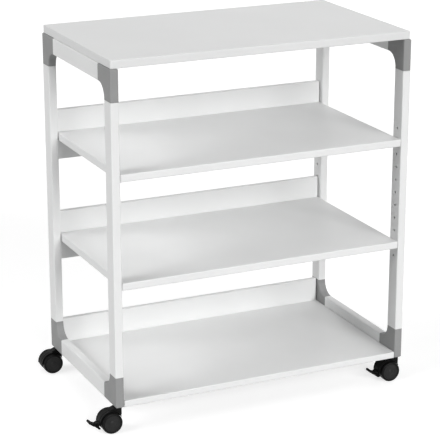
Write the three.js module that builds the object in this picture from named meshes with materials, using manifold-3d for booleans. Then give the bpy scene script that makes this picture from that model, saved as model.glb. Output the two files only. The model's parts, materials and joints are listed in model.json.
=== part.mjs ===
// Mobile file cart: two tube side frames with moulded elbows carry a top panel and three shelves on casters.
// Millimetres, +X right, +Y to the rear, +Z up, with the floor at z = 0.

import * as THREE from 'three';
import { mergeVertices } from 'three/addons/utils/BufferGeometryUtils.js';
import Module from 'manifold-3d';

const wasm = await Module();
wasm.setup();

// Overall sizes
const frameWidth = 760; // over the outer faces of the side frames
const frameDepth = 440; // over the front and rear faces of the legs
const overallHeight = 880; // floor to the top of the top panel

// Clearances
const fitGap = 0.3; // between pieces that touch
const runningGap = 0.4; // between pieces that turn on each other

// Frame tubes
const tubeWidth = 20;
const tubeDepth = 40;
const tubeWall = 1.5;
const tubeCorner = 3;

// Elbow fittings
const elbowFillet = 33; // hollow curve between the two arms
const elbowShoulder = 2; // straight stretch between the curve and each tube
const elbowEdge = 1.5; // rounding of the outer edges
const filletSteps = 4;
const spigotLength = 25;
const spigotCorner = 2;

// Top panel
const panelThickness = 19;
const panelInset = 2.5; // from the outer faces of the frame
const panelCorner = 4;
const panelEdge = 1.5;

// Folded sheet shelves and back panels
const sheet = 1.5;
const sideGap = 1.5; // between a shelf and a leg
const shelfLip = 18; // height of a middle shelf's front lip and side flanges
const baseLip = 16; // the same for the base shelf
const lipReturn = 12; // fold along the bottom of the front lip
const topBay = 241; // clear height between the top panel and the upper shelf
const backSetback = 28; // from the rear face of the legs to the front of a back panel
const backRise = 55; // back panel above a middle shelf's deck
const backDrop = 69; // back panel below a middle shelf's deck
const baseBackRise = 61; // back panel above the base shelf's deck
const backReturn = 12; // folds along the top and bottom of a back panel
const endFlange = 22; // folds at the ends of a back panel

// Rows of holes in the legs
const holePitch = 32;
const holeRadius = 3;
const holeSides = 8;
const spareHoles = 1; // beyond the shelves at each end of a row

// Screws
const screwRadius = 2.4;
const screwHeadRadius = 4;
const screwHeadHeight = 3;
const shelfScrewLength = 12;
const panelScrewGrip = 12; // how far a screw goes into the top panel
const panelScrewInset = 45; // from the end of a top rail
const screwSides = 10;

// Casters
const wheelRadius = 25;
const wheelWidth = 17;
const wheelSides = 24;
const casterTrail = 20; // from the swivel axis to the axle
const casterWidth = 46;
const treadShoulder = 3;
const rimRing = 2.5; // flat ring around the wheel's outer face
const rimInset = 2.5; // from the tread to that ring
const discRecess = 1.2; // depth of the outer face inside the ring
const capThickness = 4; // material between the axle's end and the outer face
const axleRadius = 3;
const axleSides = 12;
const webGap = 0.7; // between the housing's web and a wheel
const webHub = 12;
const hoodClearance = 1.3;
const hoodWall = 2.2;
const hoodHalfWidth = 15;
const hoodFront = 25; // where the hood starts and ends, in degrees about the axle
const hoodEnd = 184;
const hoodSteps = 5;
const bossRadius = 9.5;
const bossFoot = 13; // bottom of the boss above the axle
const bossCore = 4.5; // half width of the boss where it runs down between the wheels
const bossRise = 5; // boss above the top of the hood
const bossDepth = 22; // bore in the boss
const swivelGap = 1.5; // between the boss and the elbow above it
const pinRadius = 3;
const stemRadius = 5;
const stemLength = 36;
const collarRadius = 7;
const collarThickness = 0.8;
const stemSides = 16;

// Brake levers
const pivotOut = 2.6; // from the hood's outer face to the pivot
const pivotPastHood = 3; // beyond the hood's end, in degrees about the axle
const lugRadius = 4.5;
const lugThickness = 2.5;
const lugInner = 7;
const hubRadius = 3.6;
const stubRadius = 1.8;
const tongueReach = 54; // from the axle to the tip
const tongueRise = 11; // how far the tip stands above the pivot
const tongueThickness = 3.6;
const tongueHalfWidth = 9;
const shoeDrop = 8; // from the pivot down to the bottom of the brake shoe
const shoeReach = 4; // from the pivot towards the wheel
const shoeBack = 1.3; // from the pivot away from the wheel
const shoeHalfWidth = 14;
const lugGap = 0.8; // between a lug and the lever
const leverSides = 12;
const tipSteps = 2;

// Places that follow from the sizes
const hoodInner = wheelRadius + hoodClearance;
const hoodOuter = hoodInner + hoodWall;
const bossTop = wheelRadius + hoodOuter + bossRise;
const frameBottom = bossTop + swivelGap;
const panelBottom = overallHeight - panelThickness;
const frameTop = panelBottom - fitGap;
const elbowReach = tubeDepth + elbowFillet + elbowShoulder;
const legLength = frameTop - frameBottom - 2 * (elbowReach + fitGap);
const railLength = frameDepth - 2 * (elbowReach + fitGap);
const legX = frameWidth / 2 - tubeWidth / 2;
const legY = frameDepth / 2 - tubeDepth / 2;
const shelfHalfWidth = frameWidth / 2 - tubeWidth - sideGap;
const backFront = frameDepth / 2 - backSetback;
const baseDeck = frameBottom + baseLip;
const upperDeck = panelBottom - topBay;
const pitchesBetweenShelves = Math.floor((upperDeck - baseDeck) / 2 / holePitch);
const lowerDeck = upperDeck - pitchesBetweenShelves * holePitch;
const holeCount = pitchesBetweenShelves + 1 + 2 * spareHoles;
const firstHole = upperDeck - shelfLip / 2 + spareHoles * holePitch;
const wheelInner = casterWidth / 2 - wheelWidth;
const webHalfWidth = wheelInner - webGap;

// Finishes
function finish(color, roughness, metalness) {
  return new THREE.MeshStandardMaterial({ color, roughness, metalness });
}

const paint = finish(0xdfe0de, 0.5, 0);
const elbowPlastic = finish(0x9a9b9a, 0.55, 0);
const casterPlastic = finish(0x1c1c1d, 0.45, 0);
const wheelPlastic = finish(0x18181a, 0.5, 0);
const steel = finish(0xb9babc, 0.35, 1);

// Closed solids for cutting and joining
function solidOf(geometry) {
  const bare = geometry.clone();
  bare.deleteAttribute('normal');
  bare.deleteAttribute('uv');
  const welded = mergeVertices(bare);
  const corners = welded.index.array;
  const kept = [];
  for (let i = 0; i < corners.length; i += 3) {
    const [a, b, c] = [corners[i], corners[i + 1], corners[i + 2]];
    if (a !== b && b !== c && c !== a) kept.push(a, b, c);
  }
  return new wasm.Manifold(new wasm.Mesh({
    numProp: 3,
    vertProperties: new Float32Array(welded.attributes.position.array),
    triVerts: new Uint32Array(kept),
  }));
}

function geometryOf(solid) {
  const mesh = solid.getMesh();
  const geometry = new THREE.BufferGeometry();
  geometry.setAttribute('position', new THREE.BufferAttribute(new Float32Array(mesh.vertProperties), 3));
  geometry.setIndex(new THREE.BufferAttribute(new Uint32Array(mesh.triVerts), 1));
  return geometry;
}

function joined(solids) {
  return solids.reduce((whole, piece) => whole.add(piece));
}

function cut(solid, tools) {
  return tools.reduce((rest, tool) => rest.subtract(tool), solid);
}

// A block between two planes on each axis
function block(x, y, z) {
  const box = new THREE.BoxGeometry(x[1] - x[0], y[1] - y[0], z[1] - z[0]);
  box.translate((x[0] + x[1]) / 2, (y[0] + y[1]) / 2, (z[0] + z[1]) / 2);
  return solidOf(box);
}

// Round bars along each axis, between two planes on that axis
function barAlongX(radius, x, y, z, sides) {
  const bar = new THREE.CylinderGeometry(radius, radius, x[1] - x[0], sides);
  bar.rotateZ(Math.PI / 2);
  bar.translate((x[0] + x[1]) / 2, y, z);
  return solidOf(bar);
}

function barAlongY(radius, x, y, z, sides) {
  const bar = new THREE.CylinderGeometry(radius, radius, y[1] - y[0], sides);
  bar.translate(x, (y[0] + y[1]) / 2, z);
  return solidOf(bar);
}

function barAlongZ(radius, x, y, z, sides) {
  const bar = new THREE.CylinderGeometry(radius, radius, z[1] - z[0], sides);
  bar.rotateX(Math.PI / 2);
  bar.translate(x, y, (z[0] + z[1]) / 2);
  return solidOf(bar);
}

// A rectangle with round corners, centred on the origin
function roundedRectangle(path, width, height, corner) {
  const x = width / 2;
  const y = height / 2;
  path.moveTo(corner - x, -y);
  path.lineTo(x - corner, -y);
  path.absarc(x - corner, corner - y, corner, -Math.PI / 2, 0);
  path.lineTo(x, y - corner);
  path.absarc(x - corner, y - corner, corner, 0, Math.PI / 2);
  path.lineTo(corner - x, y);
  path.absarc(corner - x, y - corner, corner, Math.PI / 2, Math.PI);
  path.lineTo(-x, corner - y);
  path.absarc(corner - x, corner - y, corner, Math.PI, Math.PI * 1.5);
  return path;
}

const alongX = new THREE.Vector3(1, 0, 0);
const alongY = new THREE.Vector3(0, 1, 0);
const alongZ = new THREE.Vector3(0, 0, 1);
const lengthAlongX = new THREE.Matrix4().makeBasis(alongY, alongZ, alongX);
const lengthAlongY = new THREE.Matrix4().makeBasis(alongX, alongZ, alongY.clone().negate());
const cornerSteps = 1;
const edgeSteps = 2;

// A bar of rounded section, centred on the origin, with its length along Z
function roundedBar(width, depth, corner, length) {
  const section = roundedRectangle(new THREE.Shape(), width, depth, corner);
  const bar = new THREE.ExtrudeGeometry(section, {
    depth: length,
    bevelEnabled: false,
    curveSegments: cornerSteps,
  });
  bar.translate(0, 0, -length / 2);
  return bar;
}

// A length of frame tube, centred on the origin, with its length along Z
function tube(length) {
  const section = roundedRectangle(new THREE.Shape(), tubeWidth, tubeDepth, tubeCorner);
  const bore = roundedRectangle(
    new THREE.Path(),
    tubeWidth - 2 * tubeWall,
    tubeDepth - 2 * tubeWall,
    tubeCorner - tubeWall,
  );
  section.holes.push(bore);
  const wall = new THREE.ExtrudeGeometry(section, {
    depth: length,
    bevelEnabled: false,
    curveSegments: cornerSteps,
  });
  wall.translate(0, 0, -length / 2);
  return wall;
}

// Planes just inside and outside the tube wall on its +X side, where shelf screws go through
const innerWall = [tubeWidth / 2 - 2 * tubeWall, tubeWidth / 2 + tubeWall];

// Leg tube with its row of holes on the +X side
function legGeometry() {
  const middle = (frameTop + frameBottom) / 2;
  const holes = [];
  for (let i = 0; i < holeCount; i += 1) {
    holes.push(barAlongX(holeRadius, innerWall, 0, firstHole - i * holePitch - middle, holeSides));
  }
  return geometryOf(cut(solidOf(tube(legLength)), holes));
}

function railSolid() {
  return solidOf(tube(railLength).applyMatrix4(lengthAlongY));
}

// Top rail with holes through it for the two top panel screws
function topRailGeometry() {
  const through = [-tubeDepth, tubeDepth];
  const holes = [-1, 1].map((side) => {
    const y = side * (railLength / 2 - panelScrewInset);
    return barAlongZ(holeRadius, 0, y, through, holeSides);
  });
  return geometryOf(cut(railSolid(), holes));
}

// Bottom rail with one hole on the +X side for the base shelf's screw
function bottomRailGeometry() {
  const z = baseLip / 2 - tubeDepth / 2;
  return geometryOf(cut(railSolid(), [barAlongX(holeRadius, innerWall, 0, z, holeSides)]));
}

// Elbow fitting with its outer corner at the origin, a rail arm along +Y and a leg arm along +Z
function elbowSolid() {
  const inner = tubeDepth + elbowFillet;
  const side = new THREE.Shape();
  side.moveTo(0, 0);
  side.lineTo(elbowReach, 0);
  side.lineTo(elbowReach, tubeDepth);
  side.lineTo(inner, tubeDepth);
  side.absarc(inner, inner, elbowFillet, -Math.PI / 2, -Math.PI, true);
  side.lineTo(tubeDepth, elbowReach);
  side.lineTo(0, elbowReach);
  side.closePath();
  const body = new THREE.ExtrudeGeometry(side, {
    depth: tubeWidth - 2 * elbowEdge,
    bevelEnabled: true,
    bevelThickness: elbowEdge,
    bevelSize: elbowEdge,
    bevelOffset: -elbowEdge,
    bevelSegments: edgeSteps,
    curveSegments: filletSteps,
  });
  body.translate(0, 0, elbowEdge - tubeWidth / 2);
  body.applyMatrix4(lengthAlongX);

  const width = tubeWidth - 2 * (tubeWall + fitGap);
  const depth = tubeDepth - 2 * (tubeWall + fitGap);
  const length = spigotLength + tubeDepth / 2;
  const legSpigot = roundedBar(width, depth, spigotCorner, length);
  legSpigot.translate(0, tubeDepth / 2, elbowReach + spigotLength - length / 2);
  const railSpigot = roundedBar(width, depth, spigotCorner, length).applyMatrix4(lengthAlongY);
  railSpigot.translate(0, elbowReach + spigotLength - length / 2, tubeDepth / 2);
  return joined([body, legSpigot, railSpigot].map(solidOf));
}

// Bottom elbow with the socket for a caster stem
function bottomElbowGeometry() {
  const socket = [-tubeWall, stemLength + fitGap];
  return geometryOf(cut(elbowSolid(), [
    barAlongZ(stemRadius + runningGap, 0, tubeDepth / 2, socket, stemSides),
  ]));
}

// Top panel, centred on the origin, with its underside at z = 0
function topPanelGeometry() {
  const width = frameWidth - 2 * panelInset;
  const depth = frameDepth - 2 * panelInset;
  const board = new THREE.ExtrudeGeometry(roundedRectangle(new THREE.Shape(), width, depth, panelCorner), {
    depth: panelThickness - 2 * panelEdge,
    bevelEnabled: true,
    bevelThickness: panelEdge,
    bevelSize: panelEdge,
    bevelOffset: -panelEdge,
    bevelSegments: edgeSteps,
    curveSegments: cornerSteps,
  });
  board.translate(0, 0, panelEdge);
  const pilot = [-panelEdge, panelScrewGrip + fitGap];
  const pilots = panelScrewPlaces().map(([x, y]) => barAlongZ(holeRadius, x, y, pilot, holeSides));
  return geometryOf(cut(solidOf(board), pilots));
}

function panelScrewPlaces() {
  const y = railLength / 2 - panelScrewInset;
  return [[-legX, -y], [legX, -y], [-legX, y], [legX, y]];
}

const shelfWidth = [-shelfHalfWidth, shelfHalfWidth];
const shelfHollow = [sheet - shelfHalfWidth, shelfHalfWidth - sheet];
const pastShelfEnds = [-shelfHalfWidth - sheet, shelfHalfWidth + sheet];

// The hollow of a folded piece: an outline in the YZ plane, between the piece's two end walls
function hollow(outline) {
  const side = new THREE.Shape(outline.map(([y, z]) => new THREE.Vector2(y, z)));
  const length = shelfHollow[1] - shelfHollow[0];
  const room = new THREE.ExtrudeGeometry(side, { depth: length, bevelEnabled: false });
  room.applyMatrix4(lengthAlongX);
  room.translate(shelfHollow[0], 0, 0);
  return solidOf(room);
}

// Folded shelf tray with its deck's top at z = 0 and a hole in each side flange at holeY
function trayGeometry(lip, holeY) {
  const front = -frameDepth / 2;
  const rear = backFront - fitGap;
  const below = -lip - sheet;
  const room = hollow([
    [front + sheet, sheet - lip],
    [front + lipReturn, sheet - lip],
    [front + lipReturn, below],
    [rear - sheet, below],
    [rear - sheet, -sheet],
    [front + sheet, -sheet],
  ]);
  const hole = barAlongX(holeRadius, pastShelfEnds, holeY, -lip / 2, holeSides);
  return geometryOf(cut(block(shelfWidth, [front, rear], [-lip, 0]), [room, hole]));
}

// Back panel with its folds to the rear, between two heights measured from a shelf's deck
function backPanelSolid(drop, rise) {
  const fold = backFront + backReturn;
  const rear = backFront + endFlange;
  const behind = rear + sheet;
  const room = hollow([
    [backFront + sheet, sheet - drop],
    [fold, sheet - drop],
    [fold, -drop - sheet],
    [behind, -drop - sheet],
    [behind, rise + sheet],
    [fold, rise + sheet],
    [fold, rise - sheet],
    [backFront + sheet, rise - sheet],
  ]);
  return cut(block(shelfWidth, [backFront, rear], [-drop, rise]), [room]);
}

// Back panel of a middle shelf, with a hole in each end flange
function shelfBackGeometry() {
  const hole = barAlongX(holeRadius, pastShelfEnds, legY, -shelfLip / 2, holeSides);
  return geometryOf(cut(backPanelSolid(backDrop, backRise), [hole]));
}

// Screw along +X, with the underside of its head at the origin
function screwGeometry(length) {
  const profile = [
    new THREE.Vector2(0, -screwHeadHeight),
    new THREE.Vector2(screwHeadRadius / 2, -screwHeadHeight),
    new THREE.Vector2(screwHeadRadius, -screwHeadHeight / 2),
    new THREE.Vector2(screwHeadRadius, 0),
    new THREE.Vector2(screwRadius, 0),
    new THREE.Vector2(screwRadius, length),
    new THREE.Vector2(0, length),
  ];
  return new THREE.LatheGeometry(profile, screwSides).rotateZ(-Math.PI / 2);
}

// A profile of radius and distance, turned about the Y axis so that a flat side faces down
function turned(points, sides) {
  const corner = 1 / Math.cos(Math.PI / sides);
  const profile = points.map(([radius, along]) => new THREE.Vector2(radius * corner, along));
  return new THREE.LatheGeometry(profile, sides, Math.PI / sides);
}

// Wheel about the Y axis, with its outer face towards +Y
function wheelGeometry() {
  const inner = wheelInner;
  const outer = casterWidth / 2;
  const bore = axleRadius + runningGap;
  const ringOuter = wheelRadius - rimInset;
  const ringInner = ringOuter - rimRing;
  return turned([
    [0, outer - capThickness],
    [bore, outer - capThickness],
    [bore, inner],
    [wheelRadius - treadShoulder / 2, inner],
    [wheelRadius, inner + treadShoulder / 2],
    [wheelRadius, outer - treadShoulder],
    [ringOuter, outer],
    [ringInner, outer],
    [ringInner - discRecess, outer - discRecess],
    [0, outer - discRecess],
  ], wheelSides);
}

function axleGeometry() {
  const length = casterWidth - 2 * (capThickness + runningGap);
  return new THREE.CylinderGeometry(axleRadius, axleRadius, length, axleSides);
}

// Stem along Z from the swivel pin up into the elbow, with the underside of the elbow at z = 0
function stemGeometry() {
  const collarTop = -fitGap;
  const collarBottom = collarTop - collarThickness;
  const pinBottom = runningGap - swivelGap - bossDepth;
  const profile = [
    new THREE.Vector2(0, pinBottom),
    new THREE.Vector2(pinRadius, pinBottom),
    new THREE.Vector2(pinRadius, collarBottom),
    new THREE.Vector2(collarRadius, collarBottom),
    new THREE.Vector2(collarRadius, collarTop),
    new THREE.Vector2(stemRadius, collarTop),
    new THREE.Vector2(stemRadius, stemLength),
    new THREE.Vector2(0, stemLength),
  ];
  return new THREE.LatheGeometry(profile, stemSides).rotateX(Math.PI / 2);
}

function radians(degrees) {
  return THREE.MathUtils.degToRad(degrees);
}

// A flat shape in the XZ plane, extruded between two planes on Y
function plateAcrossY(shape, y, steps) {
  const plate = new THREE.ExtrudeGeometry(shape, {
    depth: y[1] - y[0],
    bevelEnabled: false,
    curveSegments: steps,
  });
  plate.applyMatrix4(lengthAlongY);
  plate.translate(0, y[1], 0);
  return solidOf(plate);
}

// The brake lever's pivot, measured from the axle
const pivotRadius = hoodOuter + pivotOut;
const pivotX = pivotRadius * Math.cos(radians(hoodEnd + pivotPastHood));
const pivotZ = pivotRadius * Math.sin(radians(hoodEnd + pivotPastHood));

// Two lugs at the hood's end that hold a brake lever
function lugSolids() {
  return [-1, 1].map((side) => {
    const planes = [side * lugInner, side * (lugInner + lugThickness)].sort((a, b) => a - b);
    return barAlongY(lugRadius, pivotX, planes, pivotZ, leverSides);
  });
}

// Caster housing around the axle at the origin, with the swivel axis casterTrail ahead on +X
function housingGeometry(hasBrake) {
  const start = radians(hoodFront);
  const end = radians(hoodEnd);
  const hood = new THREE.Shape();
  hood.absarc(0, 0, hoodOuter, start, end);
  hood.absarc(0, 0, hoodInner, end, start, true);
  hood.closePath();

  const web = new THREE.Shape();
  const webOuter = (hoodInner + hoodOuter) / 2;
  web.absarc(0, 0, webOuter, start, end);
  web.absarc(0, 0, webHub, Math.PI, 2 * Math.PI);
  web.closePath();

  const top = bossTop - wheelRadius;
  const boss = barAlongZ(bossRadius, casterTrail, 0, [bossFoot, top], stemSides);
  const wheelSpaces = [-1, 1].map((side) => {
    const planes = [side * bossCore, side * casterWidth].sort((a, b) => a - b);
    return barAlongY(webOuter, 0, planes, 0, wheelSides);
  });
  const solids = [
    plateAcrossY(hood, [-hoodHalfWidth, hoodHalfWidth], hoodSteps),
    plateAcrossY(web, [-webHalfWidth, webHalfWidth], hoodSteps),
    cut(boss, wheelSpaces),
  ];
  const bore = [top - bossDepth, top + fitGap];
  const holes = [
    barAlongZ(pinRadius + runningGap, casterTrail, 0, bore, stemSides),
    barAlongY(axleRadius + runningGap, 0, [-casterWidth, casterWidth], 0, axleSides),
  ];
  if (hasBrake) {
    solids.push(...lugSolids());
    const across = [-casterWidth, casterWidth];
    holes.push(barAlongY(stubRadius + lugGap, pivotX, across, pivotZ, leverSides));
    holes.push(barAlongY(hubRadius + lugGap, pivotX, [-lugInner, lugInner], pivotZ, leverSides));
  }
  return geometryOf(cut(joined(solids), holes));
}

// Brake lever around its pivot at the origin, with its tongue towards -X
function leverGeometry() {
  const hubHalfWidth = lugInner - fitGap;
  const tip = -(tongueReach + pivotX);
  const half = tongueThickness / 2;
  const neck = -(lugRadius + lugGap);
  const tongue = new THREE.Shape();
  tongue.moveTo(0, -half);
  tongue.lineTo(0, half);
  tongue.lineTo(tip + half, tongueRise + half);
  tongue.absarc(tip + half, tongueRise, half, Math.PI / 2, Math.PI * 1.5);
  tongue.closePath();
  const full = plateAcrossY(tongue, [-tongueHalfWidth, tongueHalfWidth], tipSteps);
  const narrow = [-hubHalfWidth, hubHalfWidth];
  const outer = [neck, -neck];
  const tall = [-tongueReach, tongueReach];
  const trims = [
    block(outer, [-tongueReach, -hubHalfWidth], tall),
    block(outer, [hubHalfWidth, tongueReach], tall),
  ];
  const shoeX = [-shoeBack, shoeReach];
  return geometryOf(joined([
    cut(full, trims),
    barAlongY(hubRadius, 0, narrow, 0, leverSides),
    barAlongY(stubRadius, 0, [-lugInner - lugThickness, lugInner + lugThickness], 0, leverSides),
    block([-shoeBack, shoeBack], narrow, [-shoeDrop + fitGap, 0]),
    block(shoeX, [-shoeHalfWidth, shoeHalfWidth], [-shoeDrop, neck]),
  ]));
}

// Assembly
const cart = new THREE.Group();

function place(group, name, geometry, material, position, rotation = [0, 0, 0]) {
  const mesh = new THREE.Mesh(geometry, material);
  mesh.name = name;
  mesh.position.set(...position);
  mesh.rotation.set(...rotation);
  group.add(mesh);
}

const sides = [['left', -1], ['right', 1]];
const ends = [['front', -1], ['rear', 1]];
const halfTurn = Math.PI;

function placeFrame() {
  const leg = legGeometry();
  const topRail = topRailGeometry();
  const bottomRail = bottomRailGeometry();
  const topElbow = geometryOf(elbowSolid());
  const bottomElbow = bottomElbowGeometry();
  for (const [side, x] of sides) {
    const facing = [0, 0, x > 0 ? halfTurn : 0];
    const railX = x * legX;
    place(cart, `top_rail_${side}`, topRail, paint, [railX, 0, frameTop - tubeDepth / 2], facing);
    place(cart, `bottom_rail_${side}`, bottomRail, paint, [railX, 0, frameBottom + tubeDepth / 2], facing);
    for (const [end, y] of ends) {
      const corner = y * frameDepth / 2;
      const name = `${end}_${side}`;
      place(cart, `leg_${name}`, leg, paint, [railX, y * legY, (frameTop + frameBottom) / 2], facing);
      const lowTurn = [0, 0, y > 0 ? halfTurn : 0];
      const highTurn = y > 0 ? [halfTurn, 0, 0] : [0, halfTurn, 0];
      place(cart, `bottom_elbow_${name}`, bottomElbow, elbowPlastic, [railX, corner, frameBottom], lowTurn);
      place(cart, `top_elbow_${name}`, topElbow, elbowPlastic, [railX, corner, frameTop], highTurn);
    }
  }
}

function placePanels() {
  place(cart, 'top_panel', topPanelGeometry(), paint, [0, 0, panelBottom]);
  const tray = trayGeometry(shelfLip, -legY);
  const back = shelfBackGeometry();
  for (const [level, deck] of [['upper', upperDeck], ['lower', lowerDeck]]) {
    place(cart, `${level}_shelf`, tray, paint, [0, 0, deck]);
    place(cart, `${level}_back_panel`, back, paint, [0, 0, deck]);
  }
  place(cart, 'base_shelf', trayGeometry(baseLip, 0), paint, [0, 0, baseDeck]);
  const baseBack = geometryOf(backPanelSolid(baseLip, baseBackRise));
  place(cart, 'base_back_panel', baseBack, paint, [0, 0, baseDeck]);
}

function placeScrews() {
  const screw = screwGeometry(shelfScrewLength);
  const headX = shelfHalfWidth - sheet - fitGap;
  for (const [side, x] of sides) {
    const turn = [0, 0, x > 0 ? 0 : halfTurn];
    for (const [level, deck] of [['upper', upperDeck], ['lower', lowerDeck]]) {
      const z = deck - shelfLip / 2;
      place(cart, `shelf_screw_${level}_${side}`, screw, steel, [x * headX, -legY, z], turn);
      place(cart, `back_screw_${level}_${side}`, screw, steel, [x * headX, legY, z], turn);
    }
    place(cart, `base_screw_${side}`, screw, steel, [x * headX, 0, baseDeck - baseLip / 2], turn);
  }
  const panelScrew = screwGeometry(tubeDepth + fitGap + panelScrewGrip);
  const upright = [0, -halfTurn / 2, 0];
  panelScrewPlaces().forEach(([x, y]) => {
    const name = `top_screw_${y < 0 ? 'front' : 'rear'}_${x < 0 ? 'left' : 'right'}`;
    place(cart, name, panelScrew, steel, [x, y, frameTop - tubeDepth - fitGap], upright);
  });
}

function placeCasters() {
  const stem = stemGeometry();
  const axle = axleGeometry();
  const wheel = wheelGeometry();
  const lever = leverGeometry();
  for (const [side, x] of sides) {
    for (const [end, y] of ends) {
      const hasBrake = end === 'front';
      const name = `${end}_${side}`;
      const caster = new THREE.Group();
      caster.position.set(x * legX - casterTrail, y * legY, wheelRadius);
      cart.add(caster);
      place(caster, `caster_stem_${name}`, stem, steel, [casterTrail, 0, frameBottom - wheelRadius]);
      place(caster, `caster_housing_${name}`, housingGeometry(hasBrake), casterPlastic, [0, 0, 0]);
      place(caster, `caster_axle_${name}`, axle, steel, [0, 0, 0]);
      place(caster, `caster_wheel_${name}_near`, wheel, wheelPlastic, [0, 0, 0], [halfTurn, 0, 0]);
      place(caster, `caster_wheel_${name}_far`, wheel, wheelPlastic, [0, 0, 0]);
      if (hasBrake) {
        place(caster, `brake_lever_${name}`, lever, casterPlastic, [pivotX, 0, pivotZ]);
      }
    }
  }
}

placeFrame();
placePanels();
placeScrews();
placeCasters();

// The origin is on the floor below the middle of the whole cart
const reach = new THREE.Box3().setFromObject(cart);
cart.position.x = -(reach.min.x + reach.max.x) / 2;

export default cart;
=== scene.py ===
"""Looks of the mobile file cart.

Painted tubes and folded shelves, moulded elbows and black twin-wheel casters.
"""

import json
import math

import bmesh
import bpy
from mathutils import Matrix, Vector


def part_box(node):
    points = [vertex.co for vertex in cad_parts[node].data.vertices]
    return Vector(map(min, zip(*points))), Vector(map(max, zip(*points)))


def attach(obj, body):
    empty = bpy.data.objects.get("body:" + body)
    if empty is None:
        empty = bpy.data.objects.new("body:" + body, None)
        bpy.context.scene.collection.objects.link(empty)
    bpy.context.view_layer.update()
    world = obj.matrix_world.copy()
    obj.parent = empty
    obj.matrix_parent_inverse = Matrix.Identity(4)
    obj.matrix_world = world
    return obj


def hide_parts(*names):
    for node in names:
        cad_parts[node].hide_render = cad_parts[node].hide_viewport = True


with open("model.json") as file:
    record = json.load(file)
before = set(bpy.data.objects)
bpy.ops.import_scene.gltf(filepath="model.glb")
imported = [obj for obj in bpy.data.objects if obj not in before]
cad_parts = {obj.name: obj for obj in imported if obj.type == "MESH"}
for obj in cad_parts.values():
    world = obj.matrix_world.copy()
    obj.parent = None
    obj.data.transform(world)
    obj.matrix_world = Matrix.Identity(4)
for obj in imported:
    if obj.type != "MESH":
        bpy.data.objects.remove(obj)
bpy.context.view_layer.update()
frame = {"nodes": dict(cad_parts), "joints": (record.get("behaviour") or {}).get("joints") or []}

X = Vector((1, 0, 0))
Y = Vector((0, 1, 0))
Z = Vector((0, 0, 1))
CORNERS = ("front_left", "front_right", "rear_left", "rear_right")

# Sizes in metres and angles in degrees, where the frame's boxes don't already give them

# Fits and fineness of all pieces
FIT_GAP = 0.0003
MERGE_DISTANCE = 1e-6
ALIGNED = 0.999  # least cosine between two directions that count as one
SHARP_ANGLE = math.radians(40)
ROUND_STEPS = 64  # sides of a turned piece
SMALL_EDGE_STEPS = 2  # faces across the smallest roundings

# Frame tubes and their holes
TUBE_DEPTH = 0.040
TUBE_WALL = 0.0015
TUBE_CORNER = 0.003
TUBE_CORNER_STEPS = 5
HOLE_RADIUS = 0.003
HOLE_STEPS = 20
HOLE_PITCH = 0.032
HOLE_COUNT = 11

# Elbow fittings
ELBOW_FILLET = 0.033  # hollow curve between the two arms
ELBOW_FILLET_STEPS = 16
ELBOW_SHOULDER = 0.002  # straight stretch between the curve and each tube
ELBOW_RIM = 0.0004
SPIGOT_LENGTH = 0.025
SOCKET_RADIUS = 0.0054
SOCKET_DEPTH = 0.0363

# Top panel
PANEL_CORNER = 0.004
PANEL_CORNER_STEPS = 6
PANEL_EDGE = 0.0016
PANEL_EDGE_STEPS = 4
PILOT_DEPTH = 0.0125

# Folded shelves and back panels
SHEET = 0.0015
FOLD = 0.0022
FOLD_STEPS = 4
SHELF_LIP = 0.018
SHELF_SPREAD = 0.001  # added at each end, to come close to the legs
LIP_RETURN = 0.012
RETURN_MITRE = 0.005
BACK_RETURN = 0.012

# Screws and stems
SCREW_HEAD = 0.004
SCREW_HEAD_HEIGHT = 0.003
SCREW_DOME = 0.0018  # rounding of the head
SCREW_DOME_STEPS = 6
SCREW_SHANK = 0.0024
SCREW_SOCKET = 0.0016
SCREW_RECESS = 0.0013
STEM_RADIUS = 0.005
STEM_CHAMFER = 0.0015
PIN_RADIUS = 0.003
COLLAR_RADIUS = 0.007
COLLAR_THICKNESS = 0.0008

# Wheels
AXLE_BORE = 0.0034
WHEEL_CAP = 0.004  # between the end of the bore and the outer face
TREAD_INNER = 0.002  # rounding of the tread towards the other wheel
TREAD_INNER_STEPS = 5
TREAD_OUTER = 0.0032
TREAD_OUTER_STEPS = 7
RIM_RING = 0.0018  # flat ring inside the tread's outer rounding
RIM_EDGE = 0.0006
RIM_EDGE_STEPS = 3
DISC_RIM = ((0.0012, 0.0018), (0.006, 0.0016))  # distance in from the ring, and depth
DISC_HUB = ((0.0085, 0.0011), (0.0072, 0.0011), (0.0066, 0.0005), (0.0045, 0.0002), (0, 0))  # radius, depth

# Caster housings, with angles about the axle
HOOD_CLEARANCE = 0.0013
HOOD_WALL = 0.0022
HOOD_HALF_WIDTH = 0.015
HOOD_START = 25
HOOD_END = 184
HOOD_END_BRAKED = 179
HOOD_STEPS = 40
HOOD_EDGE = 0.0009
GROOVE = 0.0011  # depth of a groove, and half its width
GROOVE_PLACE = 0.0075  # from the middle of the hood
WEB_HALF_WIDTH = 0.0053
WEB_STEPS = 30
WEB_HUB = 0.012
WEB_HUB_STEPS = 16
NECK_REAR = 100
NECK_FRONT = 28
NECK_STEPS = 12
NECK_FOOT = 0.013  # above the axle, at the front
NECK_HALF = 0.0092
NECK_LEAST_UPRIGHT = 0.01  # edges that are longer are rounded
NECK_CORNER = 0.006
NECK_CORNER_STEPS = 6
NECK_TOP_EDGE = 0.0012
NECK_TOP_STEPS = 3
NECK_SLIVER = 2e-5  # shorter edges are left by the rounding, and taken out
NECK_BORE = 0.0034
NECK_BORE_DEPTH = 0.009
LUG_RADIUS = 0.0045
LUG_HALF_TURN = 100  # round end of a lug, to each side
LUG_STEPS = 20
LUG_ROOT = 8
LUG_ROOT_STEPS = 4
LUG_INNER = 0.007  # from the middle of the hood
LUG_THICKNESS = 0.0025
LUG_GAP = 0.0008  # between a lug and the lever

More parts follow.
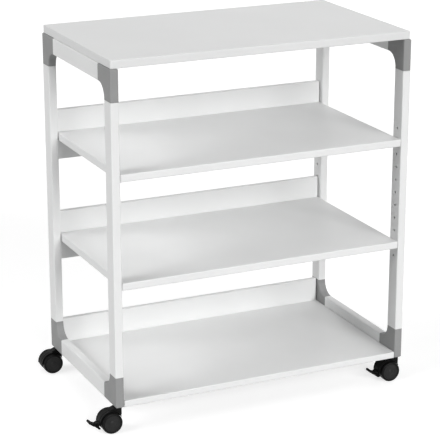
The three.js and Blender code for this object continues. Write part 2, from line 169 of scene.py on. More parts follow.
# Brake levers
STUB_RADIUS = 0.0018
LEVER_HUB = 0.0036
LEVER_HALF_WIDTH = 0.009
LEVER_NARROW = LUG_INNER - FIT_GAP  # half width between the lugs
LEVER_THICKNESS = 0.0052
LEVER_BELLY = 1.4  # how much further the underside stands from the bend than the top
LEVER_BEND = 0.6  # share of the reach at which the tongue turns up
LEVER_TIP = 0.0033
LEVER_TIP_ARC = (70, 250)
LEVER_TIP_STEPS = 12
LEVER_EDGE = 0.0008
LEVER_EDGE_STEPS = 3
LEVER_HEEL = 0.0072
LEVER_HEEL_STEPS = 16
SHOE_HALF_WIDTH = 0.014
SHOE_BACK = 0.0013
SHOE_REACH = 0.004
SHOE_EDGE = 0.0006
RIB_SHARES = (0.35, 0.6, 0.85)  # places between the bend and the tip
RIB_HALF = 0.0006
RIB_HALF_WIDTH = 0.0072
RIB_SINK = 0.0008
RIB_RISE = 0.0004
RIB_EDGE = 0.0003


# Shaping helpers

def middle_of(node):
    low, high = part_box(node)
    return (low + high) / 2


def block(low, high):
    """A box between two corners."""
    bm = bmesh.new()
    bmesh.ops.create_cube(bm, size=1)
    bmesh.ops.scale(bm, vec=high - low, verts=bm.verts)
    bmesh.ops.translate(bm, vec=(low + high) / 2, verts=bm.verts)
    bm.normal_update()
    return bm


def faces_towards(bm, direction):
    bm.normal_update()
    return [face for face in bm.faces if face.normal.dot(direction) > ALIGNED]


def largest_face(bm, direction):
    return max(faces_towards(bm, direction), key=lambda face: face.calc_area())


def edges_along(bm, direction):
    found = []
    for edge in bm.edges:
        span = (edge.verts[1].co - edge.verts[0].co).normalized()
        if abs(span.dot(direction)) > ALIGNED:
            found.append(edge)
    return found


def sharp_edges(bm):
    """The edges where two faces meet at a clear angle."""
    bm.normal_update()
    return [edge for edge in bm.edges if edge.calc_face_angle(0) > SHARP_ANGLE]


def rim_of(faces):
    """The edges around a set of faces, each once."""
    return list(dict.fromkeys(edge for face in faces for edge in face.edges))


def verts_in(parts):
    return [part for part in parts if isinstance(part, bmesh.types.BMVert)]


def round_edges(bm, edges, radius, steps):
    bmesh.ops.bevel(
        bm, geom=edges, offset=radius, offset_type="OFFSET", affect="EDGES",
        segments=steps, profile=0.5, material=-1, clamp_overlap=True,
    )


def outward(bm):
    """Merges doubled points and turns the faces outwards."""
    bmesh.ops.remove_doubles(bm, verts=bm.verts, dist=MERGE_DISTANCE)
    bmesh.ops.recalc_face_normals(bm, faces=bm.faces)


def arc(centre, radius, start, end, steps):
    """Points on an arc in a plane, from one angle in degrees to another."""
    points = []
    for i in range(steps + 1):
        angle = math.radians(start + (end - start) * i / steps)
        points.append((centre[0] + radius * math.cos(angle), centre[1] + radius * math.sin(angle)))
    return points


def sink(bm, ring, step):
    """Walls from a ring of edges, and a floor at their far end."""
    walls = bmesh.ops.extrude_edge_only(bm, edges=ring)["geom"]
    far = verts_in(walls)
    bmesh.ops.translate(bm, vec=step, verts=far)
    edges = [part for part in walls if isinstance(part, bmesh.types.BMEdge)]
    bmesh.ops.edgeloop_fill(bm, edges=[edge for edge in edges if set(edge.verts) <= set(far)])


def drill(bm, face, centres, radius, depth=0):
    """Round holes in a flat face, with a floor where they have a depth; gives back their rims."""
    normal = face.normal.copy()
    rim = list(face.edges)
    bmesh.ops.delete(bm, geom=[face], context="FACES_ONLY")
    turn = normal.to_track_quat("Z", "Y").to_matrix().to_4x4()
    rings = []
    for centre in centres:
        made = bmesh.ops.create_circle(
            bm, cap_ends=False, segments=HOLE_STEPS, radius=radius,
            matrix=Matrix.Translation(centre) @ turn,
        )
        rings.append(list(dict.fromkeys(edge for vert in made["verts"] for edge in vert.link_edges)))
    loops = [edge for ring in rings for edge in ring]
    bmesh.ops.triangle_fill(bm, use_beauty=True, edges=rim + loops, normal=normal)
    if depth:
        for ring in rings:
            sink(bm, ring, -normal * depth)
    return loops


def pierce(bm, direction, screws):
    """Holes for named screws in the largest face that looks one way."""
    face = largest_face(bm, direction)
    middle = face.calc_center_median()
    centres = []
    for name in screws:
        centre = middle_of(name)
        centres.append(centre - direction * (centre - middle).dot(direction))
    drill(bm, face, centres, HOLE_RADIUS)


def plate(outline, low, high, across):
    """A flat outline of points in 3D, extruded from low to high along an axis."""
    bm = bmesh.new()
    face = bm.faces.new([bm.verts.new(Vector(point) + across * low) for point in outline])
    made = bmesh.ops.extrude_face_region(bm, geom=[face])["geom"]
    bmesh.ops.translate(bm, vec=across * (high - low), verts=verts_in(made))
    outward(bm)
    return bm


def side_plate(centre, points, low, high):
    """A plate from its side view about a centre, between two distances from it along Y."""
    outline = [(centre.x + x, 0, centre.z + z) for x, z in points]
    return plate(outline, centre.y + low, centre.y + high, Y)


def turned(profile, centre, axis, side):
    """A profile of radius and distance along an axis, spun right round it."""
    bm = bmesh.new()
    points = [bm.verts.new(centre + side * radius + axis * along) for radius, along in profile]
    edges = [bm.edges.new(pair) for pair in zip(points, points[1:])]
    bmesh.ops.spin(
        bm, geom=points + edges, cent=centre, axis=axis, angle=math.tau,
        steps=ROUND_STEPS, use_merge=True,
    )
    outward(bm)
    return bm


def thicken(bm, wall):
    """Gives a skin its wall, inwards from its faces."""
    bmesh.ops.recalc_face_normals(bm, faces=bm.faces)
    bmesh.ops.solidify(bm, geom=bm.faces[:], thickness=wall)


def joined(parts):
    """Several shapes as one mesh."""
    whole = bmesh.new()
    for part in parts:
        mesh = bpy.data.meshes.new("part")
        part.to_mesh(mesh)
        part.free()
        whole.from_mesh(mesh)
        bpy.data.meshes.remove(mesh)
    return whole


def piece(name, bm, finishes, body, node):
    """A finished mesh on its body, in place of the solid that it stands for."""
    mesh = bpy.data.meshes.new(name)
    bm.to_mesh(mesh)
    bm.free()
    for finish in finishes:
        mesh.materials.append(finish)
    mesh.polygons.foreach_set("use_smooth", [True] * len(mesh.polygons))
    mesh.set_sharp_from_angle(angle=SHARP_ANGLE)
    made = bpy.data.objects.new(name, mesh)
    bpy.context.scene.collection.objects.link(made)
    flat = made.modifiers.new("flat_faces", "WEIGHTED_NORMAL")
    flat.keep_sharp = True
    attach(made, body)
    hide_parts(node)


# Finishes

NOISE_RANGE = (0.3, 0.7)  # most of a noise texture's values lie between these
GREY_TINT = (0.995, 1, 0.998)


def grey(value):
    return tuple(value * share for share in GREY_TINT)


def noise(tree, place, scale, detail):
    texture = tree.nodes.new("ShaderNodeTexNoise")
    texture.inputs["Scale"].default_value = scale
    texture.inputs["Detail"].default_value = detail
    tree.links.new(place, texture.inputs["Vector"])
    return texture.outputs["Fac"]


def ranged(tree, value, low, high):
    """A noise value moved to a range."""
    ramp = tree.nodes.new("ShaderNodeMapRange")
    ramp.inputs["From Min"].default_value = NOISE_RANGE[0]
    ramp.inputs["From Max"].default_value = NOISE_RANGE[1]
    ramp.inputs["To Min"].default_value = low
    ramp.inputs["To Max"].default_value = high
    tree.links.new(value, ramp.inputs["Value"])
    return ramp.outputs["Result"]


def tinted(tree, value, dark, light):
    """A colour between two tones."""
    mix = tree.nodes.new("ShaderNodeMix")
    mix.data_type = "RGBA"
    mix.inputs["A"].default_value = (*dark, 1)
    mix.inputs["B"].default_value = (*light, 1)
    tree.links.new(value, mix.inputs["Factor"])
    return mix.outputs["Result"]


def bumped(tree, height, strength, distance):
    bump = tree.nodes.new("ShaderNodeBump")
    bump.inputs["Strength"].default_value = strength
    bump.inputs["Distance"].default_value = distance
    tree.links.new(height, bump.inputs["Height"])
    return bump.outputs["Normal"]


def grained(name, specular, drift, tones, grain, roughness, bump, metallic=0):
    """A finish whose tone drifts slowly, and whose gloss and bump follow a finer grain.

    Drift and grain are the scale and detail of a noise, and bump is a strength and a distance.
    """
    material = bpy.data.materials.new(name)
    material.use_nodes = True
    tree = material.node_tree
    sockets = tree.nodes["Principled BSDF"].inputs
    sockets["Specular IOR Level"].default_value = specular
    sockets["Metallic"].default_value = metallic
    place = tree.nodes.new("ShaderNodeTexCoord").outputs["Object"]
    slow = ranged(tree, noise(tree, place, *drift), 0, 1)
    fine = noise(tree, place, *grain)
    tree.links.new(tinted(tree, slow, *tones), sockets["Base Color"])
    tree.links.new(ranged(tree, fine, *roughness), sockets["Roughness"])
    tree.links.new(bumped(tree, fine, *bump), sockets["Normal"])
    return material


def powder_coat():
    """Light grey powder coat: a fine orange peel with a slight drift in tone and gloss."""
    return grained(
        "powder_coat", specular=0.35, drift=(6, 2), tones=(grey(0.765), grey(0.79)),
        grain=(900, 3), roughness=(0.38, 0.48), bump=(0.3, 0.0004),
    )


def panel_laminate():
    """Light grey laminate of the top panel, with a fine pearl texture."""
    return grained(
        "panel_laminate", specular=0.35, drift=(4, 2), tones=(grey(0.70), grey(0.725)),
        grain=(520, 2), roughness=(0.44, 0.54), bump=(0.25, 0.0004),
    )


def elbow_plastic():
    """Mid grey moulded plastic with a spark-eroded grain."""
    return grained(
        "elbow_plastic", specular=0.12, drift=(25, 2), tones=(grey(0.285), grey(0.305)),
        grain=(1600, 4), roughness=(0.45, 0.6), bump=(0.4, 0.0003),
    )


def caster_plastic():
    """Black glass-filled plastic of the housings and levers."""
    return grained(
        "caster_plastic", specular=0.07, drift=(60, 3), tones=(grey(0.004), grey(0.006)),
        grain=(1800, 4), roughness=(0.36, 0.5), bump=(0.2, 0.0003),
    )


def wheel_plastic():
    """Black nylon of the wheels, a little dusty and worn smooth."""
    return grained(
        "wheel_plastic", specular=0.08, drift=(90, 5), tones=(grey(0.004), grey(0.008)),
        grain=(350, 5), roughness=(0.30, 0.48), bump=(0.12, 0.0003),
    )


def disc_painted_sheen():
    """Satin dark grey of the wheels' outer discs; the grey, lighter than the tread's black, is a painted
    sheen.
    """
    return grained(
        "disc_painted_sheen", specular=0.15, drift=(70, 4), tones=(grey(0.013), grey(0.02)),
        grain=(900, 4), roughness=(0.28, 0.42), bump=(0.15, 0.0003),
    )


def zinc_plate():
    """Zinc plated steel of the screws, stems and axles, with a soft bloom."""
    bloom = (220, 4)
    return grained(
        "zinc_plate", specular=0.5, drift=bloom, tones=((0.50, 0.505, 0.51), (0.62, 0.62, 0.61)),
        grain=bloom, roughness=(0.26, 0.42), bump=(0.08, 0.0002), metallic=1,
    )


PAINT = powder_coat()
LAMINATE = panel_laminate()
ELBOW = elbow_plastic()
CASTER = caster_plastic()
WHEEL = wheel_plastic()
# The discs' lighter grey is a painted sheen; their satin gloss comes from the shader.
DISC_PAINTED_SHEEN = disc_painted_sheen()
ZINC = zinc_plate()


# Frame tubes

def tube_skin(low, high, along):
    """The outer skin of a tube with round corners, open at both ends."""
    bm = block(low, high)
    ends = faces_towards(bm, along) + faces_towards(bm, -along)
    bmesh.ops.delete(bm, geom=ends, context="FACES_ONLY")
    round_edges(bm, edges_along(bm, along), TUBE_CORNER, TUBE_CORNER_STEPS)
    return bm


def leg(name, inwards):
    """A leg tube with its row of holes on the inner face."""
    low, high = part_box(name)
    bm = tube_skin(low, high, Z)
    face = largest_face(bm, inwards)
    middle = face.calc_center_median()
    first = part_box("upper_shelf")[1].z - SHELF_LIP / 2 + HOLE_PITCH
    centres = [Vector((middle.x, middle.y, first - i * HOLE_PITCH)) for i in range(HOLE_COUNT)]
    drill(bm, face, centres, HOLE_RADIUS)
    thicken(bm, TUBE_WALL)
    piece(f"{name}_tube", bm, [PAINT], "frame", name)


def rail(name, holes):
    """A rail tube, with the holes for its screws in the faces that they go through."""
    low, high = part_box(name)
    bm = tube_skin(low, high, Y)
    for direction, screws in holes:
        pierce(bm, direction, screws)
    thicken(bm, TUBE_WALL)
    piece(f"{name}_tube", bm, [PAINT], "frame", name)


# Elbow fittings

def elbow_arms(low, high, along_rail, along_leg):
    """The outside of an elbow: two arms with a hollow curve between them."""
    corner_y = low.y if along_rail > 0 else high.y
    corner_z = low.z if along_leg > 0 else high.z
    inner = TUBE_DEPTH + ELBOW_FILLET
    reach = inner + ELBOW_SHOULDER
    flat = [(0, 0), (reach, 0), (reach, TUBE_DEPTH)]
    flat += arc((inner, inner), ELBOW_FILLET, 270, 180, ELBOW_FILLET_STEPS)
    flat += [(TUBE_DEPTH, reach), (0, reach)]
    outline = [(0, corner_y + along_rail * u, corner_z + along_leg * v) for u, v in flat]
    return plate(outline, low.x, high.x, X)


def add_plug(bm, end):
    """The plug on an arm's end, inside the tube."""
    face = largest_face(bm, end)
    inset = TUBE_WALL + FIT_GAP - ELBOW_RIM
    bmesh.ops.inset_region(bm, faces=[face], thickness=inset, use_even_offset=True)
    made = bmesh.ops.extrude_face_region(bm, geom=[face])["geom"]
    bmesh.ops.delete(bm, geom=[face], context="FACES_ONLY")
    bmesh.ops.translate(bm, vec=end * SPIGOT_LENGTH, verts=verts_in(made))


def elbow(name, along_rail, along_leg):
    """A moulded elbow, rounded as the tubes are, with a plug on each arm.

    A bottom elbow has the socket for its caster's stem as well.
    """
    low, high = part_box(name)
    bm = elbow_arms(low, high, along_rail, along_leg)
    ends = (Y * along_rail, Z * along_leg)
    rims = rim_of([largest_face(bm, end) for end in ends])
    long_edges = [edge for edge in sharp_edges(bm) if edge not in rims]
    round_edges(bm, long_edges, TUBE_CORNER, TUBE_CORNER_STEPS)
    for end in ends:
        round_edges(bm, rim_of([largest_face(bm, end)]), ELBOW_RIM, SMALL_EDGE_STEPS)
        add_plug(bm, end)
    outward(bm)
    if along_leg > 0:
        seat = middle_of(name.replace("bottom_elbow", "caster_stem"))
        mouth = Vector((seat.x, seat.y, low.z))
        drill(bm, largest_face(bm, -Z), [mouth], SOCKET_RADIUS, SOCKET_DEPTH)
    piece(f"{name}_moulding", bm, [ELBOW], "frame", name)


# Top panel and folded shelves

def top_panel():
    """The board, with pilot holes for its screws in the underside."""
    low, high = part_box("top_panel")
    bm = block(low, high)
    round_edges(bm, edges_along(bm, Z), PANEL_CORNER, PANEL_CORNER_STEPS)
    rim = rim_of(faces_towards(bm, Z) + faces_towards(bm, -Z))
    round_edges(bm, rim, PANEL_EDGE, PANEL_EDGE_STEPS)
    pilots = []
    for corner in CORNERS:
        middle = middle_of(f"top_screw_{corner}")
        pilots.append(Vector((middle.x, middle.y, low.z)))
    drill(bm, largest_face(bm, -Z), pilots, HOLE_RADIUS, PILOT_DEPTH)
    piece("top_panel_board", bm, [LAMINATE], "frame", "top_panel")


def round_folds(bm):
    folds = [edge for edge in bm.edges if len(edge.link_faces) == 2]
    round_edges(bm, folds, FOLD, FOLD_STEPS)


def pierce_ends(bm, screws):
    pierce(bm, -X, [f"{screws}_left"])
    pierce(bm, X, [f"{screws}_right"])


def shelf(name, screws):
    """A folded tray, close to the legs: deck, lips all round and a mitred return along the front."""
    low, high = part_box(name)
    low.x -= SHELF_SPREAD
    high.x += SHELF_SPREAD
    bm = block(low, high)
    bmesh.ops.delete(bm, geom=faces_towards(bm, -Z), context="FACES_ONLY")
    front = min(edges_along(bm, X), key=lambda edge: edge.verts[0].co.y + edge.verts[0].co.z)
    made = bmesh.ops.extrude_edge_only(bm, edges=[front])["geom"]
    inside = verts_in(made)
    bmesh.ops.translate(bm, vec=Y * LIP_RETURN, verts=inside)
    width = high.x - low.x
    middle = Matrix.Translation(-X * (low.x + high.x) / 2)
    bmesh.ops.scale(bm, vec=(1 - 2 * RETURN_MITRE / width, 1, 1), space=middle, verts=inside)
    round_folds(bm)
    pierce_ends(bm, screws)
    thicken(bm, SHEET)
    piece(f"{name}_tray", bm, [PAINT], "frame", name)


def back_panel(name, screws):
    """A folded back panel, with its folds to the rear and longer flanges at its ends."""
    low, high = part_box(name)
    bm = block(low, Vector((high.x, low.y + BACK_RETURN, high.z)))
    bmesh.ops.delete(bm, geom=faces_towards(bm, Y), context="FACES_ONLY")
    round_folds(bm)
    if screws:
        pierce_ends(bm, screws)
    ends = [edge for edge in edges_along(bm, Z) if len(edge.link_faces) == 1]
    made = bmesh.ops.extrude_edge_only(bm, edges=ends)["geom"]
    bmesh.ops.translate(bm, vec=Y * (high.y - low.y - BACK_RETURN), verts=verts_in(made))
    thicken(bm, SHEET)
    piece(f"{name}_sheet", bm, [PAINT], "frame", name)


# Screws and stems

def screw(name):
    """A pan head screw with a round recess, lying along its longest side."""
    low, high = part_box(name)
    size = high - low
    length = max(size)
    if size.z > size.x:
        axis = Z
    else:
        axis = X if name.endswith("right") else -X
    profile = [(0, SCREW_RECESS), (SCREW_SOCKET, SCREW_RECESS), (SCREW_SOCKET, 0)]
    profile += arc((SCREW_HEAD - SCREW_DOME, SCREW_DOME), SCREW_DOME, 270, 360, SCREW_DOME_STEPS)
    profile += [(SCREW_HEAD, SCREW_HEAD_HEIGHT), (SCREW_SHANK, SCREW_HEAD_HEIGHT)]
    profile += [(SCREW_SHANK, length - SCREW_SHANK), (SCREW_SHANK / 2, length), (0, length)]
    bm = turned(profile, middle_of(name) - axis * length / 2, axis, Y)
    piece(f"{name}_turned", bm, [ZINC], "frame", name)


def stem(corner):
    """A caster stem: pin in the housing, collar under the elbow and stem in its socket."""
    name = f"caster_stem_{corner}"
    middle = middle_of(name)
    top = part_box(name)[1].z
    collar_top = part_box(f"bottom_elbow_{corner}")[0].z - FIT_GAP
    collar_foot = collar_top - COLLAR_THICKNESS
    pin_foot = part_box(f"caster_housing_{corner}")[1].z - NECK_BORE_DEPTH + FIT_GAP
    profile = [(0, pin_foot), (PIN_RADIUS, pin_foot), (PIN_RADIUS, collar_foot)]
    profile += [(COLLAR_RADIUS, collar_foot), (COLLAR_RADIUS, collar_top)]
    profile += [(STEM_RADIUS, collar_top), (STEM_RADIUS, top - STEM_CHAMFER)]
    profile += [(STEM_RADIUS - STEM_CHAMFER, top), (0, top)]
    bm = turned(profile, Vector((middle.x, middle.y, 0)), Z, X)
    piece(f"{name}_turned", bm, [ZINC], "frame", name)


# Casters

def wheel(corner, which, outwards):
    """A wheel with a rounded tread, a rim ring and a shallow domed disc."""
    name = f"caster_wheel_{corner}_{which}"
    low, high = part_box(name)
    radius = (high.z - low.z) / 2
    width = high.y - low.y
    centre = (low + high) / 2
    centre.y = low.y if outwards > 0 else high.y
    outer = (radius - TREAD_OUTER, width - TREAD_OUTER)
    ring = radius - TREAD_OUTER - RIM_RING
    profile = [(0, width - WHEEL_CAP), (AXLE_BORE, width - WHEEL_CAP), (AXLE_BORE, 0)]
    profile += arc((radius - TREAD_INNER, TREAD_INNER), TREAD_INNER, 270, 360, TREAD_INNER_STEPS)
    profile += arc(outer, TREAD_OUTER, 0, 90, TREAD_OUTER_STEPS)
    profile += arc((ring, width - RIM_EDGE), RIM_EDGE, 90, 180, RIM_EDGE_STEPS)
    profile += [(ring - inset, width - depth) for inset, depth in DISC_RIM]
    profile += [(reach, width - depth) for reach, depth in DISC_HUB]
    bm = turned(profile, centre, Y * outwards, Z)
    finishes = [WHEEL, DISC_PAINTED_SHEEN]
    # Faces of the outer disc take the lighter grey, a painted sheen.
    for face in bm.faces:
        offset = face.calc_center_median() - centre
        along = offset.dot(Y) * outwards
        if along > width - WHEEL_CAP and math.hypot(offset.x, offset.z) < ring:
            face.material_index = finishes.index(DISC_PAINTED_SHEEN)
    piece(f"{name}_nylon", bm, finishes, f"wheel_{corner}_{which}", name)


def hood_shell(axle, radius, end):
    """The curved hood over both wheels, with two shallow grooves round it."""
    inner = radius + HOOD_CLEARANCE
    outer = inner + HOOD_WALL
    half = HOOD_HALF_WIDTH
    section = [(inner, -half), (outer - HOOD_EDGE, -half), (outer, HOOD_EDGE - half)]
    for middle in (-GROOVE_PLACE, GROOVE_PLACE):
        section += [(outer, middle - GROOVE), (outer - GROOVE, middle), (outer, middle + GROOVE)]
    section += [(outer, half - HOOD_EDGE), (outer - HOOD_EDGE, half), (inner, half)]
    bm = bmesh.new()
    start = math.radians(HOOD_START)
    direction = Vector((math.cos(start), 0, math.sin(start)))
    loop = [bm.verts.new(axle + direction * reach + Y * across) for reach, across in section]
    edges = [bm.edges.new(pair) for pair in zip(loop, loop[1:] + loop[:1])]
    bmesh.ops.spin(
        bm, geom=loop + edges, cent=axle, axis=-Y,
        angle=math.radians(end - HOOD_START), steps=HOOD_STEPS,
    )
    open_edges = [edge for edge in bm.edges if len(edge.link_faces) == 1]
    bmesh.ops.holes_fill(bm, edges=open_edges, sides=0)
    outward(bm)
    return bm


def hood_core(radius):
    """The radius at the middle of the hood's wall, where its other parts run into it."""
    return radius + HOOD_CLEARANCE + HOOD_WALL / 2


def bore_through(bm, centre, low, high, radius):
    """A round hole through a plate, whose sides lie at two distances from a centre along Y."""
    rings = []
    for direction, plane in ((-Y, low), (Y, high)):
        rings += drill(bm, largest_face(bm, direction), [centre + Y * plane], radius)
    bmesh.ops.bridge_loops(bm, edges=rings)
    outward(bm)


def web_plate(axle, radius, end):
    """The wall between the wheels that holds the axle."""
    points = arc((0, 0), hood_core(radius), HOOD_START, end, WEB_STEPS)
    points += arc((0, 0), WEB_HUB, 180, 360, WEB_HUB_STEPS)
    bm = side_plate(axle, points, -WEB_HALF_WIDTH, WEB_HALF_WIDTH)
    bore_through(bm, axle, -WEB_HALF_WIDTH, WEB_HALF_WIDTH, AXLE_BORE)
    return bm


def neck(axle, radius, trail, top):
    """The boss that rises from the hood to the stem."""
    front = trail + NECK_HALF
    rear = trail - NECK_HALF
    points = arc((0, 0), hood_core(radius), NECK_REAR, NECK_FRONT, NECK_STEPS)
    points += [(front, NECK_FOOT), (front, top), (rear, top)]
    bm = side_plate(axle, points, -NECK_HALF, NECK_HALF)
    upright = [edge for edge in edges_along(bm, Z) if edge.calc_length() > NECK_LEAST_UPRIGHT]
    round_edges(bm, upright, NECK_CORNER, NECK_CORNER_STEPS)
    round_edges(bm, rim_of([largest_face(bm, Z)]), NECK_TOP_EDGE, NECK_TOP_STEPS)
    bmesh.ops.dissolve_degenerate(bm, dist=NECK_SLIVER, edges=bm.edges[:])
    drill(bm, largest_face(bm, Z), [axle + X * trail + Z * top], NECK_BORE, NECK_BORE_DEPTH)
    return bm


def lugs(axle, radius, pivot):
    """Two rounded ears on the hood's end that carry the brake lever."""
    eye = (pivot.x - axle.x, pivot.z - axle.z)
    away = math.degrees(math.atan2(eye[1], eye[0]))
    points = arc(eye, LUG_RADIUS, away - LUG_HALF_TURN, away + LUG_HALF_TURN, LUG_STEPS)
    root_end = HOOD_END_BRAKED - LUG_ROOT
    points += arc((0, 0), hood_core(radius), HOOD_END_BRAKED, root_end, LUG_ROOT_STEPS)
    outer = LUG_INNER + LUG_THICKNESS
    made = []
    for low, high in ((-outer, -LUG_INNER), (LUG_INNER, outer)):
        bm = side_plate(axle, points, low, high)
        bore_through(bm, pivot, low, high, STUB_RADIUS + LUG_GAP)
        made.append(bm)
    return made


def housing(corner, pivot):
    """A caster's body: hood, web and neck, and the lugs where it has a brake."""
    name = f"caster_housing_{corner}"
    axle = middle_of(f"caster_axle_{corner}")
    wheel_low, wheel_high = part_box(f"caster_wheel_{corner}_near")
    radius = (wheel_high.z - wheel_low.z) / 2
    trail = middle_of(f"caster_stem_{corner}").x - axle.x
    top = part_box(name)[1].z - axle.z
    end = HOOD_END_BRAKED if pivot else HOOD_END
    parts = [hood_shell(axle, radius, end), web_plate(axle, radius, end), neck(axle, radius, trail, top)]
    if pivot:
        parts += lugs(axle, radius, pivot)
    piece(f"{name}_moulding", joined(parts), [CASTER], f"swivel_{corner}", name)


# Brake levers

def tongue(pivot, bend, tip):
    """The lever's arm: thick at the hub, narrow between the lugs, with a rounded tip that turns up."""
    half = LEVER_THICKNESS / 2
    points = [(0, -LEVER_HUB), (0, LEVER_HUB), (-LEVER_HUB, LEVER_HUB), (bend[0], bend[1] + half)]
    points += arc(tip, LEVER_TIP, *LEVER_TIP_ARC, LEVER_TIP_STEPS)
    points += [(bend[0], bend[1] - half * LEVER_BELLY), (-LEVER_HUB, -LEVER_HUB)]
    bm = side_plate(pivot, points, -LEVER_HALF_WIDTH, LEVER_HALF_WIDTH)
    round_edges(bm, sharp_edges(bm), LEVER_EDGE, LEVER_EDGE_STEPS)
    neck_x = pivot.x - LUG_RADIUS - LUG_GAP
    for plane_x in (neck_x, neck_x - LUG_INNER / 2):
        bmesh.ops.bisect_plane(
            bm, geom=bm.verts[:] + bm.edges[:] + bm.faces[:],
            plane_co=Vector((plane_x, pivot.y, pivot.z)), plane_no=X,
        )
    beside = [vert for vert in bm.verts if vert.co.x > neck_x - FIT_GAP]
    middle = Matrix.Translation(-Y * pivot.y)
    bmesh.ops.scale(bm, vec=(1, LEVER_NARROW / LEVER_HALF_WIDTH, 1), space=middle, verts=beside)
    return bm


def pin(centre, radius, reach):
    """A round pin along Y that reaches as far to both sides of its centre."""
    return turned([(0, -reach), (radius, -reach), (radius, reach), (0, reach)], centre, Y, Z)


def shoe(pivot, foot):
    """The bar across both wheels, and the post that holds it under the hub."""
    bar = block(
        Vector((pivot.x - SHOE_BACK, pivot.y - SHOE_HALF_WIDTH, foot)),
        Vector((pivot.x + SHOE_REACH, pivot.y + SHOE_HALF_WIDTH, pivot.z - LUG_RADIUS - LUG_GAP)),
    )
    round_edges(bar, bar.edges[:], SHOE_EDGE, SMALL_EDGE_STEPS)
    post = block(
        Vector((pivot.x - SHOE_BACK, pivot.y - LEVER_NARROW, foot + FIT_GAP)),
        Vector((pivot.x + SHOE_BACK, pivot.y + LEVER_NARROW, pivot.z)),
    )
    return [bar, post]


def heel(pivot):
    """The round back of the hub, between the lugs."""
    points = arc((0, 0), LEVER_HEEL, 90, 270, LEVER_HEEL_STEPS)
    bm = side_plate(pivot, points, -LEVER_NARROW, LEVER_NARROW)
    round_edges(bm, sharp_edges(bm), LEVER_EDGE, LEVER_EDGE_STEPS)
    return bm


def grip_ribs(pivot, bend, tip):
    """Low ribs across the tongue near its tip."""
    half = LEVER_THICKNESS / 2
    ribs = []
    for share in RIB_SHARES:
        x = pivot.x + bend[0] + (tip[0] - bend[0]) * share
        z = pivot.z + bend[1] + (tip[1] - bend[1]) * share + half + (LEVER_TIP - half) * share
        rib = block(
            Vector((x - RIB_HALF, pivot.y - RIB_HALF_WIDTH, z - RIB_SINK)),
            Vector((x + RIB_HALF, pivot.y + RIB_HALF_WIDTH, z + RIB_RISE)),
        )
        round_edges(rib, rib.edges[:], RIB_EDGE, SMALL_EDGE_STEPS)
        ribs.append(rib)
    return ribs


def lever(corner, pivot):
    """A brake lever: tongue with grip ribs, hub with two stubs, and a shoe across both wheels."""
    name = f"brake_lever_{corner}"
    low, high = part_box(name)
    tip = (low.x - pivot.x + LEVER_TIP, high.z - pivot.z - LEVER_TIP)
    bend = (tip[0] * LEVER_BEND, tip[1] * LEVER_BEND ** 2)
    hub = pin(pivot, LEVER_HUB, LEVER_NARROW)
    stub = pin(pivot, STUB_RADIUS, LUG_INNER + LUG_THICKNESS)
    parts = [tongue(pivot, bend, tip), hub, stub, *shoe(pivot, low.z), heel(pivot)]
    parts += grip_ribs(pivot, bend, tip)
    piece(f"{name}_moulding", joined(parts), [CASTER], f"lever_{corner}", name)


# Assembly

def joint_point(name):
    for joint in frame["joints"]:
        if joint["name"] == name:
            return Vector(joint["pos_m"])
    raise ValueError(f"no joint named {name}")


def build_caster(corner, pivot):
    """A whole caster, with its brake lever where it has a pivot for one."""
    stem(corner)
    housing(corner, pivot)
    wheel(corner, "near", -1)
    wheel(corner, "far", 1)
    frame["nodes"][f"caster_axle_{corner}"].data.materials[0] = ZINC
    if pivot:
        lever(corner, pivot)


def build_cart():
    top_panel()
    for level in ("upper", "lower"):
        shelf(f"{level}_shelf", f"shelf_screw_{level}")
        back_panel(f"{level}_back_panel", f"back_screw_{level}")
    shelf("base_shelf", "base_screw")
    back_panel("base_back_panel", None)
    for side, inwards in (("left", X), ("right", -X)):
        panel_screws = [f"top_screw_{end}_{side}" for end in ("front", "rear")]
        rail(f"top_rail_{side}", [(Z, panel_screws), (-Z, panel_screws)])
        rail(f"bottom_rail_{side}", [(inwards, [f"base_screw_{side}"])])
        screw(f"base_screw_{side}")
        for level in ("upper", "lower"):
            screw(f"shelf_screw_{level}_{side}")
            screw(f"back_screw_{level}_{side}")
        for end, along_rail in (("front", 1), ("rear", -1)):
            corner = f"{end}_{side}"
            leg(f"leg_{corner}", inwards)
            elbow(f"bottom_elbow_{corner}", along_rail, 1)
            elbow(f"top_elbow_{corner}", along_rail, -1)
            screw(f"top_screw_{corner}")
            build_caster(corner, joint_point(f"brake_{corner}") if end == "front" else None)


build_cart()


# Camera, light and floor

CAMERA_PLACE = Vector((-1.7335, -3.7639, 1.7310))
CAMERA_YAW = -24.96
CAMERA_PITCH = -17.71
CAMERA_FOCAL_PIXELS = 1786.7
PHOTO_PIXELS = 440
SENSOR_WIDTH = 36
AMBIENT = 0.12
WHITE = (1, 1, 1, 1)
FLOOR_HALF = 6.0
FLOOR_DROP = 0.0002  # below the wheels
FLOOR_TONE = 0.5
FLOOR_LIFT = 0.68  # brings the lit floor up to white


def add_camera():
    data = bpy.data.cameras.new("camera")
    data.sensor_width = SENSOR_WIDTH
    data.lens = CAMERA_FOCAL_PIXELS / PHOTO_PIXELS * SENSOR_WIDTH
    camera = bpy.data.objects.new("camera", data)
    camera.location = CAMERA_PLACE
    camera.rotation_euler = (math.radians(90 + CAMERA_PITCH), 0, math.radians(CAMERA_YAW))
    bpy.context.scene.collection.objects.link(camera)
    bpy.context.scene.camera = camera


def seen_directly(tree):
    """One where a ray comes from the camera, a reflection or glass."""
    path = tree.nodes.new("ShaderNodeLightPath")
    total = path.outputs["Is Camera Ray"]
    for kind in ("Is Glossy Ray", "Is Transmission Ray"):
        more = tree.nodes.new("ShaderNodeMath")
        more.operation = "MAXIMUM"
        tree.links.new(total, more.inputs[0])
        tree.links.new(path.outputs[kind], more.inputs[1])
        total = more.outputs[0]
    return total


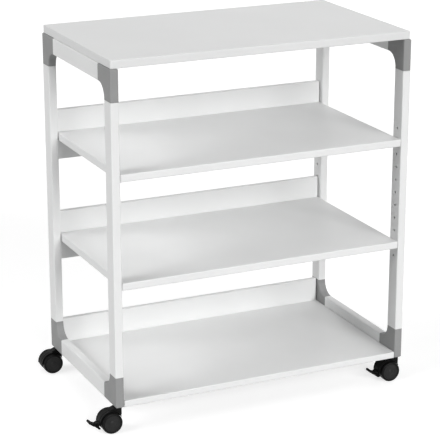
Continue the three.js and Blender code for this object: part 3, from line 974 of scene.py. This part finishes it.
def add_world():
    """White where it is seen, soft grey light elsewhere."""
    world = bpy.data.worlds.new("studio")
    bpy.context.scene.world = world
    world.use_nodes = True
    tree = world.node_tree
    light = tree.nodes["Background"]
    light.inputs["Color"].default_value = WHITE
    light.inputs["Strength"].default_value = AMBIENT
    white = tree.nodes.new("ShaderNodeBackground")
    white.inputs["Color"].default_value = WHITE
    white.inputs["Strength"].default_value = 1
    mix = tree.nodes.new("ShaderNodeMixShader")
    tree.links.new(seen_directly(tree), mix.inputs["Fac"])
    tree.links.new(light.outputs["Background"], mix.inputs[1])
    tree.links.new(white.outputs["Background"], mix.inputs[2])
    tree.links.new(mix.outputs["Shader"], tree.nodes["World Output"].inputs["Surface"])


def add_lamp(name, around, height, spread, level, shine):
    """A wide soft light from a bearing and a height, at the brightness it gives a white wall.

    It shows in reflections only where it has a shine.
    """
    data = bpy.data.lights.new(name, "SUN")
    data.angle = math.radians(spread)
    data.energy = level * math.pi
    lamp = bpy.data.objects.new(name, data)
    lamp.rotation_euler = (math.radians(90 - height), 0, math.radians(around))
    lamp.visible_glossy = shine
    bpy.context.scene.collection.objects.link(lamp)


def pale_floor():
    """Matt grey that keeps the shadow, brightened to white where it is seen."""
    material = bpy.data.materials.new("pale_floor")
    material.use_nodes = True
    tree = material.node_tree
    tree.nodes.remove(tree.nodes["Principled BSDF"])
    matt = tree.nodes.new("ShaderNodeBsdfDiffuse")
    matt.inputs["Color"].default_value = (FLOOR_TONE, FLOOR_TONE, FLOOR_TONE, 1)
    glow = tree.nodes.new("ShaderNodeEmission")
    lift = tree.nodes.new("ShaderNodeMath")
    lift.operation = "MULTIPLY"
    lift.inputs[1].default_value = FLOOR_LIFT
    tree.links.new(seen_directly(tree), lift.inputs[0])
    tree.links.new(lift.outputs[0], glow.inputs["Strength"])
    both = tree.nodes.new("ShaderNodeAddShader")
    tree.links.new(matt.outputs["BSDF"], both.inputs[0])
    tree.links.new(glow.outputs["Emission"], both.inputs[1])
    tree.links.new(both.outputs["Shader"], tree.nodes["Material Output"].inputs["Surface"])
    return material


def add_floor():
    bm = bmesh.new()
    bmesh.ops.create_grid(bm, x_segments=1, y_segments=1, size=FLOOR_HALF)
    bmesh.ops.translate(bm, vec=-Z * FLOOR_DROP, verts=bm.verts)
    mesh = bpy.data.meshes.new("floor")
    bm.to_mesh(mesh)
    bm.free()
    mesh.materials.append(pale_floor())
    floor = bpy.data.objects.new("floor", mesh)
    bpy.context.scene.collection.objects.link(floor)


add_camera()
add_world()
add_floor()
add_lamp("key", around=5, height=22, spread=30, level=0.84, shine=True)
add_lamp("fill", around=-95, height=33, spread=42, level=0.6, shine=False)
add_lamp("back", around=135, height=15, spread=40, level=0.45, shine=False)
bpy.context.scene.view_settings.view_transform = "Standard"
